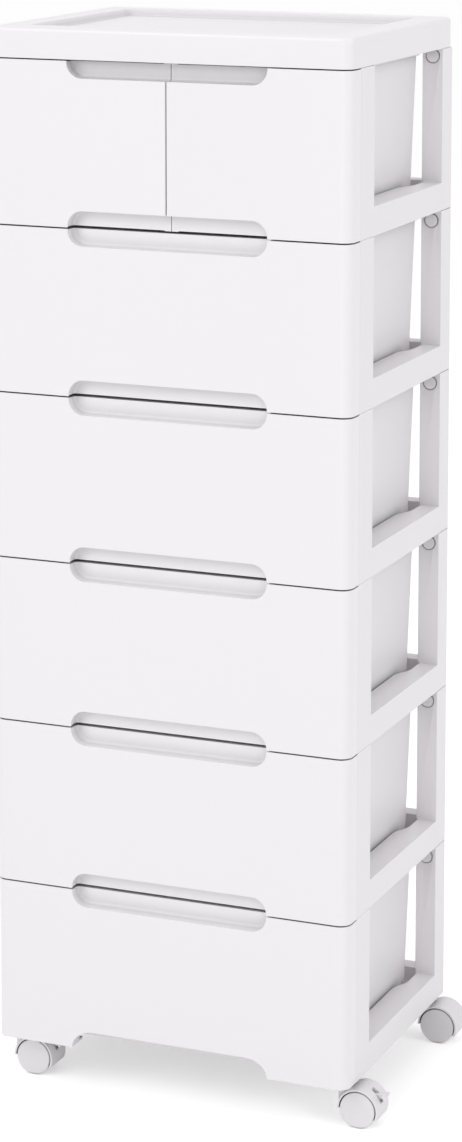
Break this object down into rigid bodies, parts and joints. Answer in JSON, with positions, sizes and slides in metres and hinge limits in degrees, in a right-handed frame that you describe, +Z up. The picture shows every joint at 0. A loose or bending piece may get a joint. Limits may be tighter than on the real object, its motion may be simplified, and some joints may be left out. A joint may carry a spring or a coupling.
{
  "type": "drawer tower",
  "caption": "White plastic drawer tower of stacked tiers with finger-recess drawers, open side frames, a tray top and twin-wheel casters.",
  "frame": {"origin": "on the floor, in the middle of the box that the part fills with its casters trailing to +X", "axes": "+Z up, the drawers open towards -Y, +X to the right seen from the front"},
  "size_m": [0.4096, 0.292, 1.0745],
  "materials": {
    "front_plastic": "moulded, soft satin gloss",
    "cover_plastic": "moulded, soft satin gloss",
    "frame_plastic": "moulded, satin",
    "tub_plastic": "moulded, satin, slightly milky",
    "button_plastic": "moulded",
    "hood_plastic": "moulded, satin",
    "wheel_plastic": "moulded, satin",
    "steel": "zinc-plated wire"
  },
  "bodies": {
    "root": {"top_cover": "cover_plastic", "drawer_guide": "frame_plastic", "snap_buttons": "button_plastic", "caster_stems": "steel", "side_frame_left_1": "frame_plastic", "side_frame_right_1": "frame_plastic", "rear_rail_1": "frame_plastic", "front_rail_1": "frame_plastic", "side_frame_left_2": "frame_plastic", "side_frame_right_2": "frame_plastic", "rear_rail_2": "frame_plastic", "front_rail_2": "frame_plastic", "side_frame_left_3": "frame_plastic", "side_frame_right_3": "frame_plastic", "rear_rail_3": "frame_plastic", "front_rail_3": "frame_plastic", "side_frame_left_4": "frame_plastic", "side_frame_right_4": "frame_plastic", "rear_rail_4": "frame_plastic", "front_rail_4": "frame_plastic", "side_frame_left_5": "frame_plastic", "side_frame_right_5": "frame_plastic", "rear_rail_5": "frame_plastic", "front_rail_5": "frame_plastic", "side_frame_left_6": "frame_plastic", "side_frame_right_6": "frame_plastic", "rear_rail_6": "frame_plastic", "front_rail_6": "frame_plastic"},
    "drawer_1_left": {"drawer_front_1_left": "front_plastic", "drawer_tub_1_left": "tub_plastic"},
    "drawer_1_right": {"drawer_front_1_right": "front_plastic", "drawer_tub_1_right": "tub_plastic"},
    "drawer_2": {"drawer_front_2": "front_plastic", "drawer_tub_2": "tub_plastic"},
    "drawer_3": {"drawer_front_3": "front_plastic", "drawer_tub_3": "tub_plastic"},
    "drawer_4": {"drawer_front_4": "front_plastic", "drawer_tub_4": "tub_plastic"},
    "drawer_5": {"drawer_front_5": "front_plastic", "drawer_tub_5": "tub_plastic"},
    "drawer_6": {"drawer_front_6": "front_plastic", "drawer_tub_6": "tub_plastic"},
    "caster_front_left": {"caster_hood_front_left": "hood_plastic", "caster_axle_front_left": "steel"},
    "wheel_outer_front_left": {"caster_wheel_outer_front_left": "wheel_plastic"},
    "wheel_inner_front_left": {"caster_wheel_inner_front_left": "wheel_plastic"},
    "brake_left": {"brake_lever_left": "hood_plastic"},
    "caster_front_right": {"caster_hood_front_right": "hood_plastic", "caster_axle_front_right": "steel"},
    "wheel_outer_front_right": {"caster_wheel_outer_front_right": "wheel_plastic"},
    "wheel_inner_front_right": {"caster_wheel_inner_front_right": "wheel_plastic"},
    "brake_right": {"brake_lever_right": "hood_plastic"},
    "caster_rear_left": {"caster_hood_rear_left": "hood_plastic", "caster_axle_rear_left": "steel"},
    "wheel_outer_rear_left": {"caster_wheel_outer_rear_left": "wheel_plastic"},
    "wheel_inner_rear_left": {"caster_wheel_inner_rear_left": "wheel_plastic"},
    "caster_rear_right": {"caster_hood_rear_right": "hood_plastic", "caster_axle_rear_right": "steel"},
    "wheel_outer_rear_right": {"caster_wheel_outer_rear_right": "wheel_plastic"},
    "wheel_inner_rear_right": {"caster_wheel_inner_rear_right": "wheel_plastic"}
  },
  "joints": [
    {"name": "drawer_1_left_slide", "type": "slide", "parent": "root", "child": "drawer_1_left", "axis": [0, -1, 0], "range_m": [0, 0.19]},
    {"name": "drawer_1_right_slide", "type": "slide", "parent": "root", "child": "drawer_1_right", "axis": [0, -1, 0], "range_m": [0, 0.19]},
    {"name": "drawer_2_slide", "type": "slide", "parent": "root", "child": "drawer_2", "axis": [0, -1, 0], "range_m": [0, 0.19]},
    {"name": "drawer_3_slide", "type": "slide", "parent": "root", "child": "drawer_3", "axis": [0, -1, 0], "range_m": [0, 0.19]},
    {"name": "drawer_4_slide", "type": "slide", "parent": "root", "child": "drawer_4", "axis": [0, -1, 0], "range_m": [0, 0.19]},
    {"name": "drawer_5_slide", "type": "slide", "parent": "root", "child": "drawer_5", "axis": [0, -1, 0], "range_m": [0, 0.19]},
    {"name": "drawer_6_slide", "type": "slide", "parent": "root", "child": "drawer_6", "axis": [0, -1, 0], "range_m": [0, 0.19]},
    {"name": "caster_front_left_swivel", "type": "hinge", "parent": "root", "child": "caster_front_left", "pos_m": [-0.19135, -0.108, 0.0447], "axis": [0, 0, 1], "continuous": true},
    {"name": "wheel_outer_front_left_spin", "type": "hinge", "parent": "caster_front_left", "child": "wheel_outer_front_left", "pos_m": [-0.17525, -0.108, 0.0185], "axis": [0, 1, 0], "continuous": true},
    {"name": "wheel_inner_front_left_spin", "type": "hinge", "parent": "caster_front_left", "child": "wheel_inner_front_left", "pos_m": [-0.17525, -0.108, 0.0185], "axis": [0, 1, 0], "continuous": true},
    {"name": "brake_left_press", "type": "hinge", "parent": "caster_front_left", "child": "brake_left", "pos_m": [-0.16165, -0.108, 0.0291], "axis": [0, 1, 0], "range_deg": [0, 18]},
    {"name": "caster_front_right_swivel", "type": "hinge", "parent": "root", "child": "caster_front_right", "pos_m": [0.16185, -0.108, 0.0447], "axis": [0, 0, 1], "continuous": true},
    {"name": "wheel_outer_front_right_spin", "type": "hinge", "parent": "caster_front_right", "child": "wheel_outer_front_right", "pos_m": [0.17795, -0.108, 0.0185], "axis": [0, 1, 0], "continuous": true},
    {"name": "wheel_inner_front_right_spin", "type": "hinge", "parent": "caster_front_right", "child": "wheel_inner_front_right", "pos_m": [0.17795, -0.108, 0.0185], "axis": [0, 1, 0], "continuous": true},
    {"name": "brake_right_press", "type": "hinge", "parent": "caster_front_right", "child": "brake_right", "pos_m": [0.19155, -0.108, 0.0291], "axis": [0, 1, 0], "range_deg": [0, 18]},
    {"name": "caster_rear_left_swivel", "type": "hinge", "parent": "root", "child": "caster_rear_left", "pos_m": [-0.19135, 0.1297, 0.0447], "axis": [0, 0, 1], "continuous": true},
    {"name": "wheel_outer_rear_left_spin", "type": "hinge", "parent": "caster_rear_left", "child": "wheel_outer_rear_left", "pos_m": [-0.17525, 0.1297, 0.0185], "axis": [0, 1, 0], "continuous": true},
    {"name": "wheel_inner_rear_left_spin", "type": "hinge", "parent": "caster_rear_left", "child": "wheel_inner_rear_left", "pos_m": [-0.17525, 0.1297, 0.0185], "axis": [0, 1, 0], "continuous": true},
    {"name": "caster_rear_right_swivel", "type": "hinge", "parent": "root", "child": "caster_rear_right", "pos_m": [0.16185, 0.1297, 0.0447], "axis": [0, 0, 1], "continuous": true},
    {"name": "wheel_outer_rear_right_spin", "type": "hinge", "parent": "caster_rear_right", "child": "wheel_outer_rear_right", "pos_m": [0.17795, 0.1297, 0.0185], "axis": [0, 1, 0], "continuous": true},
    {"name": "wheel_inner_rear_right_spin", "type": "hinge", "parent": "caster_rear_right", "child": "wheel_inner_rear_right", "pos_m": [0.17795, 0.1297, 0.0185], "axis": [0, 1, 0], "continuous": true}
  ]
}
